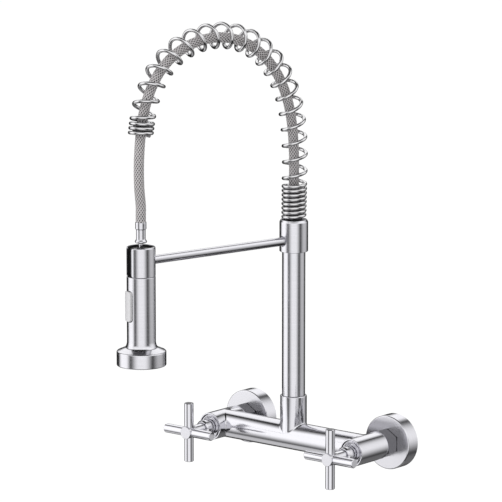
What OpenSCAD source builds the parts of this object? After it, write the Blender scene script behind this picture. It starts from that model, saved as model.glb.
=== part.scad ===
// Pre-rinse faucet: a wall bridge with two cross-handle valves, a swivelling riser, a coil-spring
// hose arch and a pull-down spray head that parks in a slotted holder.
// Frame: origin midway between the two inlets on the wall plane, +X along the bridge to the
// user's right, +Y into the wall, +Z up. Millimetres.

/* [Wall connection] */
// Distance between the two inlets
inlet_centres = 203.2; // [150:0.1:210]
// Outside diameter of the inlet thread
thread_d = 20.955; // [18:0.005:22]
// Length of thread that goes into the wall
thread_len = 15; // [10:1:25]
// Diameter of a wall flange
flange_d = 61; // [50:1:70]
// Depth of a wall flange
flange_t = 17; // [12:1:20]
// Union nut, across its flats
union_af = 28; // [27:0.5:30]
// Union nut, length
union_len = 15; // [12:1:16]

/* [Bridge] */
// Distance from the wall to the bridge axis
bridge_reach = 57; // [55:1:60]
// Diameter of the bridge tube
bridge_d = 30.8; // [29:0.1:31]
// Diameter of a valve body
valve_d = 31.4; // [31.2:0.1:33]
// Distance from the wall to the front of a valve body
valve_front = 82; // [80:1:90]
// Diameter of the riser socket on the bridge
tee_d = 30; // [28.5:0.5:30.5]
// Top of the riser socket
tee_top = 47; // [42:1:55]

/* [Handles] */
// Diameter of the bonnet sleeve
bonnet_d = 19; // [17:0.5:21]
// Length of the bonnet sleeve
bonnet_len = 14; // [10:1:15]
// Distance from the wall to the axes of the cross bars
bars_y = 118.5; // [118:0.5:125]
// Diameter of a cross bar
bar_d = 10.5; // [9:0.5:11.5]
// Span of a cross bar, end to end
bar_span = 67.5; // [55:0.5:80]
// Diameter of the handle hub
hub_d = 14.5; // [14:0.5:17]

/* [Riser and arm] */
// Diameter of the riser pipe
riser_d = 26; // [25:0.5:27]
// Diameter of the collar on the riser
collar_d = 32; // [31:0.5:36]
// Bottom of the collar
collar_z = 211; // [190:1:230]
// Height of the collar
collar_h = 36; // [34:1:45]
// Distance from the riser axis to the spray head axis
arm_reach = 210; // [208:0.5:212]
// Diameter of the arm rod
arm_d = 9.5; // [8:0.5:11]
// Height of the arm rod
arm_z = 223.5; // [222:0.5:225]
// Angle that the arm is parked at, from straight ahead towards the left
arm_turn = 12.9; // [0:0.1:40]

/* [Spring arch] */
// Outside diameter of the spring's closed turns
spring_od = 28; // [27:0.5:29]
// Outside diameter of the spring at the top of the arch
arch_od = 30; // [28:0.5:32]
// How far the spring's middle stands above the hose's at the top of the arch
arch_lift = 2.4; // [0:0.2:3]
// Diameter of the spring wire
wire_d = 4; // [3.6:0.1:4]
// Closed turns at the foot
foot_turns = 7.3; // [5:0.1:8]
// Open turns over the arch
open_turns = 18.7; // [17:0.1:19]
// Closed turns at the hose end
end_turns = 3.1; // [1.5:0.1:4]
// Distance from turn to turn where the spring is closed
closed_pitch = 4.9; // [4.8:0.1:5]
// Distance from turn to turn over the arch
open_pitch = 18.7; // [17:0.1:19]
// Angle at which the wire leaves the collar
wire_start = 216; // [0:1:359]
// Outside diameter of the hose
hose_d = 11.5; // [10:0.5:12]

/* [Holder and spray head] */
// Outside diameter of the holder and of the spray head's grip
grip_d = 31.5; // [31:0.5:34]
// Bottom of the holder
holder_z = 207.8; // [205:0.1:210]
// Height of the holder
holder_h = 32.2; // [30:0.1:34]
// Width of the holder's slot, which the hose passes through
slot_w = 12.8; // [12.4:0.2:14]
// Angle from the arm to the slot and the button
slot_turn = 10.5; // [0:0.5:20]
// Diameter of the spray head's foot
foot_d = 54.2; // [50:0.2:58]
// Bottom of the spray head
foot_z = 109; // [105:1:112]
// Height of the button
button_h = 32.6; // [28:0.2:34]
// Width of the button
button_w = 12.6; // [11:0.2:13]
// How far the button stands out of the grip
button_out = 1.8; // [1:0.1:2.5]

/* [Hidden] */
$fn = 96;
HOT = -1;
COLD = 1;
RUN = 0.05;         // radial clearance of a running fit
LOOSE = 0.3;        // clearance between faces that pass each other

way_r = 7.5;            // waterways through the adapters, the tails and the riser's foot
bridge_bore_r = 8;      // bore of the cross tube
valve_bore_r = 11;      // bore that holds a cartridge and its bonnet
spigot_r = 11;          // foot of the riser
stem_r = 4;
set_screw_r = 2;
key_r = 1.1;            // hexagon socket of a set screw
shank_r = 10.2;         // adapter's shank inside the flange
adapter_len = 9;        // how far an adapter stands out of its flange
washer_t = 2.2;

union_end = flange_t + union_len;
seat_z = collar_z + collar_h;
coil_r = (spring_od - wire_d) / 2;
grip_r = grip_d / 2;
bore_r = grip_r - 2.5;
liner_r = grip_r - 1.65;
neck_r = liner_r - 1.9;
joint_z = holder_z - LOOSE;
ball_z = holder_z + 18;
ball_r = 6.5;
tail_z = holder_z + 36.2;
ferrule_z = tail_z + 14.6;
ferrule_h = 8.4;
button_z = 175.3;
pin_r = 1.5;
pin_axis = 7.5;

// ---------- shared shapes ----------

// A point at a distance and an angle from a centre, in a profile.
function polar(c, r, a) = [c[0] + r * cos(a), c[1] + r * sin(a)];

// A turned piece from its outer points and the radius of its bore.
module turned(points, bore = 0) {
    lo = points[0][1];
    hi = points[len(points) - 1][1];
    rotate_extrude()
        polygon(concat([[bore, lo]], points, [[bore, hi]]));
}

// A rod with chamfered ends, along +Z.
module rod(r, h, edge) {
    turned([[r - edge, 0], [r, edge], [r, h - edge], [r - edge, h]]);
}

// An upright slot or window outline with round corners.
module round_rect(w, h, r) {
    square([w, h - 2 * r], center = true);
    square([w - 2 * r, h], center = true);
    for (x = [-1, 1], y = [-1, 1])
        translate([x * (w / 2 - r), y * (h / 2 - r)]) circle(r, $fn = 32);
}

// Puts a turned piece on a valve's axis, with its height measured from the wall.
module on_valve(side) {
    translate([side * inlet_centres / 2, 0, 0]) rotate([90, 0, 0]) children();
}

// Puts pieces on the riser's axis, with -Y along the arm.
module on_riser() {
    translate([0, -bridge_reach, 0]) rotate([0, 0, -arm_turn]) children();
}

// Puts pieces on the spray head's axis, with -Y towards the slot and the button.
module on_wand() {
    on_riser() translate([0, -arm_reach, 0]) rotate([0, 0, -slot_turn]) children();
}

// Stands a flat outline upright across the wand and pushes it out through the front wall.
module through_front(from, to, z) {
    translate([0, -from, z]) rotate([90, 0, 0]) linear_extrude(to - from) children();
}

// ---------- wall connection ----------

// Male pipe thread into the wall, a shank through the flange and a union face in front.
module wall_adapter(side) {
    color("goldenrod") on_valve(side) difference() {
        union() {
            translate([0, 0, -thread_len]) cylinder(d = thread_d, h = thread_len);
            cylinder(r = shank_r, h = flange_t);
            translate([0, 0, flange_t]) cylinder(r = 11.4, h = adapter_len);
        }
        translate([0, 0, -thread_len - 1]) cylinder(r = way_r, h = 2 * thread_len + flange_t);
    }
}

// Deep cup that covers the hole in the wall, with a flat polished front.
module wall_flange(side) {
    r = flange_d / 2;
    edge = 1.1;
    color("gainsboro") on_valve(side) difference() {
        turned([[r, 0], [r, flange_t - edge], [r - edge, flange_t]]);
        translate([0, 0, -1]) cylinder(r = r - 1.5, h = flange_t - 1);
        translate([0, 0, -1]) cylinder(r = shank_r + LOOSE, h = flange_t + 2);
    }
}

// Hexagon nut with chamfered front corners.
module union_nut(side) {
    corner_r = union_af / 2 / cos(30);
    color("darkgray") on_valve(side) translate([0, 0, flange_t]) difference() {
        intersection() {
            rotate([0, 0, 90]) cylinder(r = corner_r, h = union_len, $fn = 6);
            turned([[corner_r, 0], [corner_r, union_len - 1.2], [union_af / 2 - 0.4, union_len]]);
        }
        translate([0, 0, -1]) cylinder(r = 11.7, h = union_len + 2);
    }
}

// Flat washer between the adapter and the valve body.
module inlet_washer(side) {
    color("dimgray") on_valve(side) translate([0, 0, flange_t + adapter_len]) difference() {
        cylinder(r = 11, h = washer_t);
        translate([0, 0, -1]) cylinder(r = way_r, h = 5);
    }
}

// ---------- bridge ----------

bore_z = flange_t + adapter_len + washer_t;  // rear end of the valve body's tail
seat_depth = valve_front - 36;               // bottom of the cartridge bore

// Outline of one valve body, rounded at the back and chamfered in front.
module valve_outer() {
    r = valve_d / 2;
    back = 3;
    turned(concat(
        [[11.2, bore_z], [11.2, union_end]],
        [for (a = [-90:15:0]) polar([r - back, union_end + back], back, a)],
        [[r, valve_front - 0.8], [r - 0.8, valve_front]]
    ));
}

spigot_z = 21;      // bottom of the riser's spigot
lock_z = 33;        // groove and set screw that hold the riser down

// The cast bridge: two valve bodies, the cross tube and the riser socket, all bored through.
module bridge_body() {
    r = tee_d / 2;
    color("silver") difference() {
        union() {
            for (side = [HOT, COLD]) on_valve(side) valve_outer();
            translate([-inlet_centres / 2, -bridge_reach, 0]) rotate([0, 90, 0])
                cylinder(d = bridge_d, h = inlet_centres);
            translate([0, -bridge_reach, 0]) turned([[r, 0], [r, tee_top - 0.8], [r - 0.8, tee_top]]);
        }
        for (side = [HOT, COLD]) on_valve(side) {
            translate([0, 0, bore_z - 1]) cylinder(r = way_r, h = seat_depth);
            translate([0, 0, seat_depth]) cylinder(r = valve_bore_r, h = 40);
        }
        translate([-inlet_centres / 2, -bridge_reach, 0]) rotate([0, 90, 0])
            cylinder(r = bridge_bore_r, h = inlet_centres);
        translate([0, -bridge_reach, 0]) {
            cylinder(r = bridge_bore_r, h = 30);
            translate([0, 0, spigot_z - 1]) cylinder(r = spigot_r + RUN, h = 40);
            translate([0, 5, lock_z]) rotate([-90, 0, 0]) cylinder(r = set_screw_r + 0.1, h = 20);
        }
    }
}

// Set screw in the back of the socket that holds the riser by its groove.
module riser_lock_screw() {
    tip = spigot_r - 0.6;
    length = tee_d / 2 - tip - 0.2;
    color("gray") translate([0, tip - bridge_reach, lock_z]) rotate([-90, 0, 0]) difference() {
        rod(set_screw_r, length, 0.3);
        translate([0, 0, length - 2]) cylinder(r = key_r, h = 3, $fn = 6);
    }
}

// ---------- valves and handles ----------

disc_t = 3.4;
disc_gap = 0.1;
seal_t = 1.5;
disc_z = seat_depth + seal_t;
cartridge_len = 30;
chamber_r = 9.8;
port_at = 4.8;      // distance from the stem's axis to the middle of a disc's port

// Rubber seal between the body's seat and the fixed disc.
module seat_seal(side) {
    color("black") on_valve(side) translate([0, 0, seat_depth]) difference() {
        cylinder(r = chamber_r - 0.1, h = seal_t);
        translate([0, 0, -1]) cylinder(r = way_r, h = 5);
    }
}

// Valve cartridge: a chamber for the discs, two side windows and a bearing for the stem.
module cartridge(side) {
    color("khaki") on_valve(side) difference() {
        translate([0, 0, seat_depth]) cylinder(r = valve_bore_r - 0.3, h = cartridge_len);
        translate([0, 0, seat_depth - 1]) cylinder(r = chamber_r, h = 15);
        translate([0, 0, seat_depth]) cylinder(r = stem_r + RUN, h = 40);
        translate([0, 0, disc_z + 6]) for (a = [0, 180]) rotate([0, 90, a]) cylinder(r = 2.8, h = 15);
    }
}

// Ceramic disc that stays, with two round ports.
module fixed_disc(side) {
    color("white") on_valve(side) translate([0, 0, disc_z]) difference() {
        cylinder(r = chamber_r - 0.1, h = disc_t);
        for (x = [-port_at, port_at]) translate([x, 0, -1]) cylinder(r = 2.6, h = 6);
    }
}

// Ceramic disc that turns: two notches open to its edge, a quarter turn away from the ports.
module moving_disc(side) {
    color("white") on_valve(side) translate([0, 0, disc_z + disc_t + disc_gap]) difference() {
        cylinder(r = chamber_r - LOOSE - 0.1, h = disc_t);
        for (y = [-port_at, port_at]) translate([0, 1.5 * y, -1]) cylinder(r = 4.2, h = 6);
    }
}

stem_top = bars_y - 10.5;
cap_z = bars_y + 4.8;       // front face of a handle's hub

// Stem with the foot that turns the moving disc and a tapped end for the handle's screw.
module stem(side) {
    foot = disc_z + 2 * disc_t + disc_gap;
    color("goldenrod") on_valve(side) difference() {
        translate([0, 0, foot]) {
            cylinder(r = 8, h = 2.6);
            rod(stem_r, stem_top - foot, 0.5);
        }
        translate([0, 0, stem_top - 9]) cylinder(r = 1.55, h = 10);
    }
}

neck_of_handle_r = 6;

// Sleeve nut that closes the valve body round the handle's neck.
module bonnet(side) {
    r = bonnet_d / 2;
    top = valve_front + bonnet_len;
    color("silver") on_valve(side)
        turned([[valve_bore_r - RUN, seat_depth + cartridge_len], [valve_bore_r - RUN, valve_front],
                [r, valve_front], [r, top - 0.8], [r - 0.8, top]], neck_of_handle_r + LOOSE);
}

// Cross handle: two bars through a hub, with a neck that runs into the bonnet.
module handle(side) {
    r = hub_d / 2;
    neck = neck_of_handle_r;
    color("gainsboro") on_valve(side) difference() {
        union() {
            turned([[neck, valve_front + bonnet_len - 2], [neck, bars_y - 6.5],
                    [r, bars_y - 6], [r, cap_z]]);
            translate([0, -bar_span / 2, bars_y]) rotate([-90, 0, 0]) rod(bar_d / 2, bar_span, 0.7);
            translate([-bar_span / 2, 0, bars_y]) rotate([0, 90, 0]) rod(bar_d / 2, bar_span, 0.7);
        }
        translate([0, 0, valve_front]) cylinder(r = stem_r + RUN, h = stem_top - valve_front);
        translate([0, 0, stem_top - 1]) cylinder(r = 1.7, h = 20);
        translate([0, 0, bars_y - 3]) cylinder(r = 5.3, h = 20);
        translate([0, 0, cap_z]) cylinder(r = r + 0.05, h = 5);
    }
}

// Screw that draws the handle on to the stem.
module handle_screw(side) {
    color("gray") on_valve(side) translate([0, 0, bars_y - 3]) difference() {
        union() {
            translate([0, 0, -15.5]) cylinder(r = 1.5, h = 16);
            rod(3, 3, 0.3);
        }
        translate([0, 0, 1]) cylinder(r = 1.3, h = 3, $fn = 6);
    }
}

// Plain index cap that covers the screw.
module index_cap(side) {
    r = hub_d / 2;
    color("whitesmoke") on_valve(side)
        turned([[5.2, cap_z - 3], [5.2, cap_z], [r, cap_z], [r, cap_z + 1.3], [r - 0.4, cap_z + 1.7]]);
}

// ---------- riser, collar and arm ----------

riser_top = seat_z - 11;
seal_z = [26, 39];          // lower edges of the two seals' grooves
seal_w = 2.2;
seal_floor = 9.3;

// Points of a groove in the spigot, from its lower edge, its height and the radius of its floor.
function groove(z, h, floor_r) = [[spigot_r, z], [floor_r, z], [floor_r, z + h], [spigot_r, z + h]];

// Pipe with a grooved spigot that turns in the bridge's socket.
module riser_pipe() {
    r = riser_d / 2;
    foot = tee_top + 0.2;
    color("silver") on_riser() difference() {
        turned(concat(
            [[spigot_r - 0.6, spigot_z + 0.2], [spigot_r, spigot_z + 1]],
            groove(seal_z[0], seal_w, seal_floor),
            groove(lock_z - 2.3, 4.6, 9.8),
            groove(seal_z[1], seal_w, seal_floor),
            [[spigot_r, foot], [r - 0.4, foot], [r, foot + 0.4], [r, riser_top]]
        ));
        translate([0, 0, spigot_z - 1]) cylinder(r = way_r, h = 50);
        translate([0, 0, 62]) cylinder(r = r - 2, h = riser_top);
    }
}

// Two seals in the spigot's grooves.
module riser_o_rings() {
    color("black") on_riser() for (z = seal_z) translate([0, 0, z + seal_w / 2])
        rotate_extrude() translate([(spigot_r + seal_floor) / 2, 0])
            circle((spigot_r - seal_floor) / 2, $fn = 24);
}

// Where the wire enters the collar, as a point across the riser's axis.
bend_r = wire_d / 2 + 0.6;
wire_hole = [coil_r * cos(wire_start) + bend_r * sin(wire_start),
             coil_r * sin(wire_start) - bend_r * cos(wire_start)];

// Collar that carries the arm and the foot of the spring.
module collar() {
    r = collar_d / 2;
    edge = 1.2;
    hole = arm_d / 2 + RUN;
    color("silver") on_riser() difference() {
        turned([[r - 0.5, collar_z], [r, collar_z + 0.5], [r, seat_z - edge], [r - edge, seat_z]]);
        translate([0, 0, collar_z - 1]) cylinder(r = riser_d / 2 + RUN, h = collar_h - 10);
        cylinder(r = 8, h = 2 * seat_z);
        translate([0, -10, arm_z]) rotate([90, 0, 0]) cylinder(r = hole, h = 10);
        translate([0, 1.3 - r, arm_z]) rotate([90, 0, 0]) cylinder(r1 = hole, r2 = hole + 1.5, h = 1.5);
        translate([0, 10, arm_z]) rotate([-90, 0, 0]) cylinder(r = set_screw_r + 0.1, h = 10);
        translate([wire_hole[0], wire_hole[1], seat_z - wire_d]) cylinder(r = wire_d / 2 + 0.3, h = 10);
    }
}

// Set screw that fixes the collar to the riser.
module collar_screw() {
    color("gray") on_riser() translate([0, riser_d / 2 + 0.1, arm_z]) rotate([-90, 0, 0]) difference() {
        rod(set_screw_r, (collar_d - riser_d) / 2 - 0.4, 0.3);
        translate([0, 0, 0.8]) cylinder(r = key_r, h = 3, $fn = 6);
    }
}

// Plug in the top of the riser that the hose is crimped to.
module hose_nipple() {
    color("goldenrod") on_riser() difference() {
        union() {
            translate([0, 0, riser_top - 9]) cylinder(r = riser_d / 2 - 2 - RUN, h = 9);
            translate([0, 0, riser_top]) cylinder(d = hose_d, h = seat_z - riser_top);
        }
        translate([0, 0, riser_top - 10]) cylinder(r = 3, h = 30);
    }
}

// Straight rod from the collar to the holder.
module arm_rod() {
    start = riser_d / 2 + 0.4;
    length = arm_reach - start - liner_r;
    color("silver") on_riser() translate([0, -start, arm_z]) rotate([90, 0, 0]) difference() {
        cylinder(d = arm_d, h = length);
        translate([0, 0, length - 12]) cylinder(r = 1.75, h = 20);
    }
}

// Flat-headed bolt from inside the holder into the rod.
module arm_bolt() {
    color("gray") on_riser() translate([0, liner_r - arm_reach, arm_z]) rotate([-90, 0, 0]) {
        cylinder(r = 1.7, h = 9);
        translate([0, 0, -1.1]) cylinder(r = 3.2, h = 1.1);
    }
}

// ---------- holder ----------

// Outline of the holder's slot, widened by round corners at its two ends.
module slot_outline(w, h, r) {
    square([w, 2 * h], center = true);
    for (x = [-1, 1], z = [0, 1]) mirror([x < 0 ? 1 : 0, 0]) mirror([0, z]) difference() {
        translate([w / 2 - 0.1, h / 2 - r]) square([r + 0.1, 2 * r]);
        translate([w / 2 + r, h / 2 - r]) circle(r, $fn = 48);
    }
}

// Slotted metal sleeve with a rounded top edge.
module holder_sleeve() {
    top = holder_z + holder_h;
    edge = 1.5;
    color("silver") difference() {
        on_wand() rotate_extrude() polygon(concat(
            [[liner_r, holder_z], [grip_r - 0.4, holder_z], [grip_r, holder_z + 0.4]],
            [for (a = [0:18:90]) polar([grip_r - edge, top - edge], edge, a)],
            [[liner_r, top]]
        ));
        on_wand() through_front(5, 25, holder_z + holder_h / 2) slot_outline(slot_w, holder_h, 2.5);
        on_riser() translate([0, 10 - arm_reach, arm_z]) rotate([-90, 0, 0])
            cylinder(r = arm_d / 2 + RUN, h = 10);
    }
}

// Plastic lining that the spray head's neck slides in, slotted like the sleeve.
module holder_liner() {
    color([0.06, 0.06, 0.06]) difference() {
        on_wand() difference() {
            translate([0, 0, holder_z + 0.4]) cylinder(r = liner_r, h = holder_h - 1);
            translate([0, 0, holder_z - 1]) cylinder(r = neck_r + 0.4, h = holder_h + 2);
            through_front(5, 25, holder_z + holder_h / 2) square([slot_w, 2 * holder_h], center = true);
        }
        on_riser() translate([0, 8 - arm_reach, arm_z]) rotate([-90, 0, 0]) cylinder(r = 3.4, h = 12);
    }
}

// ---------- hose and spring ----------

// The hose's middle line from the collar to the spray head: distance out from the riser, and height.
route = [
    [0, 247], [0, 285], [0, 320], [3, 355], [10, 384], [23, 411], [43, 434], [70, 451], [103, 459],
    [136, 456], [165, 444], [187, 424], [202, 396], [209, 366], [212, 335], [212, 307], [210, 285],
    [210, 276], [210, 267]
];
steps = 8;          // points worked out between two points of the route

// A point of the smooth curve through the route, between points i and i + 1.
function reach_of(i) = route[max(0, min(len(route) - 1, i))];
function smooth(i, t) =
    let(a = reach_of(i - 1), b = reach_of(i), c = reach_of(i + 1), d = reach_of(i + 2))
    0.5 * (2 * b + (c - a) * t + (2 * a - 5 * b + 4 * c - d) * t * t
        + (3 * b - a - 3 * c + d) * t * t * t);
line = [for (i = [0:len(route) - 2], k = [0:steps - 1]) smooth(i, k / steps), route[len(route) - 1]];

// Length of the curve up to each of its points.
function lengths(i = 0, sum = 0) =
    i >= len(line) - 1 ? [sum] : concat([sum], lengths(i + 1, sum + norm(line[i + 1] - line[i])));
run = lengths();
function piece_at(s, lo = 0, hi = len(line) - 1) =
    hi - lo <= 1 ? lo : let(m = floor((lo + hi) / 2)) run[m] > s ? piece_at(s, lo, m) : piece_at(s, m, hi);
function flat_at(s) = let(i = piece_at(s), t = (s - run[i]) / (run[i + 1] - run[i]))
    line[i] + (line[i + 1] - line[i]) * t;

// The curve in space, its direction, and the direction across it in the plane of the arch.
function at(s) = let(p = flat_at(s)) [0, -p[0], p[1]];
function unit(v) = v / norm(v);
function along(s) = unit(at(min(s + 2, run[len(run) - 1])) - at(max(s - 2, 0)));
function across(s) = cross(along(s), [1, 0, 0]);

// A tube as triangles, from rings that each hold a middle and the two directions across it.
module tube(rings, r, sides) {
    n = len(rings);
    points = [for (g = rings, j = [0:sides - 1])
        g[0] + r * (cos(360 * j / sides) * g[1] + sin(360 * j / sides) * g[2])];
    walls = [for (i = [0:n - 2], j = [0:sides - 1])
        let(k = (j + 1) % sides, a = i * sides, b = a + sides)
        each [[a + j, b + k, a + k], [a + j, b + j, b + k]]];
    foot = [for (j = [1:sides - 2]) [0, j, j + 1]];
    head = [for (j = [1:sides - 2]) [(n - 1) * sides, (n - 1) * sides + j + 1, (n - 1) * sides + j]];
    polyhedron(points = points, faces = concat(foot, walls, head), convexity = 10);
}

// A stretch of hose between two lengths along the curve.
module hose(from, to, count) {
    color("gray") on_riser()
        tube([for (i = [0:count]) let(s = from + (to - from) * i / count)
            [at(s), [1, 0, 0], across(s)]], hose_d / 2, 12);
}

// Distance along the curve at turn n: closed turns, one turn opening, open turns, one closing, closed.
total_turns = foot_turns + 1 + open_turns + 1 + end_turns;
function gain(n) = n <= 0 ? 0 : n >= 1 ? n - 0.5 : n * n / 2;
function climb(n) = bend_r + closed_pitch * n
    + (open_pitch - closed_pitch) * (gain(n - foot_turns) - gain(n - foot_turns - 1 - open_turns));
spring_end = climb(total_turns);
hose_split = spring_end - 11;   // the fixed hose ends inside the last closed turns

// The wire's middle and its outward direction at turn n. The coil swells and lifts over the arch.
function swell(n) = sin(180 * (climb(n) - bend_r) / (spring_end - bend_r));
function coil_at(n) = coil_r + (arch_od - spring_od) / 2 * swell(n);
function spoke(n) = let(a = 360 * n + wire_start) cos(a) * [1, 0, 0] + sin(a) * across(climb(n));
function wire_at(n) = let(s = climb(n)) at(s) + arch_lift * swell(n) * across(s) + coil_at(n) * spoke(n);
function wire_way(n) = unit(wire_at(min(n + 0.02, total_turns)) - wire_at(max(n - 0.02, 0)));
function square_to(v, w) = unit(v - (v * w) * w);
rings_per_turn = 8;
last_ring = floor(total_turns * rings_per_turn);
wire_rings = [for (i = [0:last_ring])
    let(n = i / rings_per_turn, w = wire_way(n), u = square_to(spoke(n), w)) [wire_at(n), u, cross(w, u)]];

// At its foot the wire turns down through a quarter bend and goes straight into the collar.
foot_out = spoke(0);
foot_way = cross([0, 0, 1], foot_out);
foot_rings = concat(
    [for (z = [wire_d, 0]) [wire_at(0) - bend_r * foot_way - [0, 0, bend_r + z], foot_out, foot_way]],
    [for (a = [30, 60])
        let(w = sin(a) * foot_way + cos(a) * [0, 0, 1],
            p = wire_at(0) - bend_r * cos(a) * foot_way - [0, 0, bend_r * (1 - sin(a))])
        [p, foot_out, cross(w, foot_out)]]
);

// At the hose end the wire runs on straight for its own diameter.
end_ring = wire_rings[last_ring];
tail_ring = [end_ring[0] + wire_d * wire_way(last_ring / rings_per_turn), end_ring[1], end_ring[2]];

// Least gap between the wire and itself, measured from each ring's middle to those of the next turn.
function nearest(i) = min([
    for (j = [i + 5:min(i + 12, last_ring)]) norm(wire_rings[i][0] - wire_rings[j][0])
]);
least_gap = min([for (i = [0:last_ring - 5]) nearest(i)]) - wire_d;
echo("least gap of the spring to itself", least_gap);

// Spring that carries the hose over the arch: one length of wire.
module arch_spring() {
    color("gainsboro") on_riser() tube(concat(foot_rings, wire_rings, [tail_ring]), wire_d / 2, 6);
}

module arch_hose() {
    hose(0, hose_split, 40);
}

module drop_hose() {
    hose(hose_split, run[len(run) - 1], 12);
}

// ---------- end of the hose ----------

// Crimped ring round the end of the hose.
module hose_ferrule() {
    r = 6.1;
    color("gainsboro") on_wand() difference() {
        translate([0, 0, ferrule_z])
            turned([[r - 0.8, 0], [r, 0.8], [r, ferrule_h - 0.5], [r - 0.4, ferrule_h]]);
        translate([0, 0, ferrule_z - 1]) cylinder(r = 3, h = 20);
    }
}

// Sleeve, collar, thin neck and the ball that the spray head swivels on.
module hose_tail() {
    color("gainsboro") on_wand() difference() {
        union() {
            translate([0, 0, tail_z]) turned([[5.6, 0], [6.6, 0.8], [6.6, 1.8], [5.2, 4], [5.2, 14.6]]);
            translate([0, 0, ball_z]) cylinder(r = 2.5, h = tail_z - ball_z + 1);
            translate([0, 0, ball_z]) sphere(r = ball_r);
        }
        translate([0, 0, ball_z - 10]) cylinder(r = 1.5, h = 60);
    }
}

// ---------- spray head ----------

// Plastic neck that parks in the holder and holds the ball in a round socket.
module spray_neck() {
    top = holder_z + holder_h - 2.2;
    color([0.06, 0.06, 0.06]) on_wand() difference() {
        turned([[bore_r - RUN, joint_z - 14.5], [bore_r - RUN, joint_z], [neck_r, joint_z],
                [neck_r, top - 1.5], [neck_r - 0.6, top - 0.4], [neck_r - 1.6, top]]);
        translate([0, 0, joint_z - 16]) cylinder(r = 6, h = 15);
        translate([0, 0, joint_z - 2]) cylinder(r = 3, h = 20);
        translate([0, 0, ball_z]) sphere(r = ball_r + LOOSE);
        translate([0, 0, ball_z]) cylinder(r1 = 3.6, r2 = 5.2, h = top - ball_z + 0.1);
    }
}

head_top = foot_z + 14.3;       // top of the foot's band
shoulder_z = foot_z + 18.8;     // where the grip's flare meets the foot

// Grip and flared foot, one turned shell with a window for the button.
module spray_shell() {
    r = foot_d / 2;
    flare = 7;
    neck_out = 1.9;
    color("silver") on_wand() difference() {
        turned(concat(
            [[r - 0.8, foot_z], [r, foot_z + 0.8], [r, head_top - 0.9], [r - 0.9, head_top],
             [grip_r + neck_out, shoulder_z]],
            [for (a = [20:10:80]) [grip_r + neck_out * pow(1 - a / 90, 2), shoulder_z + flare * sin(a)]],
            [[grip_r, shoulder_z + flare], [grip_r, joint_z - 0.6], [grip_r - 0.6, joint_z]]
        ));
        translate([0, 0, shoulder_z - 8]) cylinder(r = bore_r, h = 100);
        translate([0, 0, foot_z - 1]) cylinder(r = r - 2.3, h = 11.5);
        translate([0, 0, foot_z + 10.49]) cylinder(r1 = r - 2.3, r2 = bore_r, h = 5);
        through_front(8, 20, button_z) round_rect(button_w + 1.2, button_h + 1.2, 3.4);
    }
}

// Check valve in the foot of the neck.
module check_valve() {
    color("ivory") on_wand() translate([0, 0, joint_z - 14]) difference() {
        cylinder(r = 5.9, h = 12.5);
        translate([0, 0, -1]) cylinder(r = 4, h = 9);
        for (a = [0:60:300]) rotate([0, 0, a]) translate([2.6, 0, 5]) cylinder(r = 0.9, h = 10, $fn = 16);
    }
}

// Inner body that leads the water to the stream or the spray, with a pocket behind the button.
module diverter_housing() {
    top = joint_z - 14.8;
    bottom = shoulder_z - 2;
    color("dimgray") on_wand() difference() {
        translate([0, 0, bottom]) cylinder(r = bore_r - RUN, h = top - bottom);
        translate([0, 7, bottom - 1]) cylinder(r = 3.5, h = top - bottom + 2);
        through_front(3.9, 20, button_z) square([button_w + 1.2, button_h + 4], center = true);
        translate([-9, -pin_axis, button_z]) rotate([0, 90, 0]) cylinder(r = pin_r + 0.02, h = 18);
        translate([0, 0.5, button_z + 10]) rotate([90, 0, 0]) cylinder(r = 2.3, h = 6);
    }
}

// Pin that the button rocks on.
module button_pin() {
    color("gray") on_wand() translate([-8.9, -pin_axis, button_z]) rotate([0, 90, 0])
        cylinder(r = pin_r, h = 17.8);
}

// Plunger that holds the rocker where it is set.
module button_plunger() {
    length = 13.4;
    color("gray") on_wand() translate([0, 0.5, button_z + 10]) rotate([90, 0, 0]) difference() {
        rod(2.2, length, 0.6);
        translate([0, 0, -1]) cylinder(r = 1.4, h = length - 1);
    }
}

// Rocker button: a curved plate with a lug on the pin.
module spray_button() {
    r = grip_r + button_out;
    color("lightgray") on_wand() difference() {
        union() {
            intersection() {
                translate([0, 0, button_z - button_h / 2])
                    turned([[r - 0.8, 0], [r, 1], [r, button_h - 1], [r - 0.8, button_h]], grip_r - 2);
                through_front(8, 20, button_z) round_rect(button_w, button_h, 2.8);
            }
            intersection() {
                translate([-4, 1 - grip_r, button_z - 3.2]) cube([8, grip_r - 6, 6.4]);
                translate([0, 0, button_z - 5]) cylinder(r = grip_r - 1.5, h = 10);
            }
        }
        translate([-10, -pin_axis, button_z]) rotate([0, 90, 0]) cylinder(r = pin_r + RUN, h = 20);
    }
}

face_r = foot_d / 2 - 2.35;

// Plate that feeds the ring of nozzles.
module spray_plate() {
    color("dimgray") on_wand() translate([0, 0, foot_z + 6]) difference() {
        cylinder(r = face_r, h = 4);
        translate([0, 0, -1]) cylinder(r = 8.9, h = 6);
        for (a = [0:30:330]) rotate([0, 0, a]) translate([16.5, 0, -1]) cylinder(r = 1.6, h = 6, $fn = 16);
    }
}

// Soft face with two rings of nozzles.
module spray_face() {
    color([0.3, 0.3, 0.31]) on_wand() translate([0, 0, foot_z + 1.6]) {
        difference() {
            cylinder(r = face_r, h = 4.3);
            translate([0, 0, -1]) cylinder(r = 8.9, h = 7);
        }
        for (ring = [[13, 12], [19.5, 20]], i = [0:ring[1] - 1])
            rotate([0, 0, 360 * i / ring[1]]) translate([ring[0], 0, -1.2])
                cylinder(r1 = 0.8, r2 = 1.2, h = 1.4, $fn = 16);
    }
}

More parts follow.
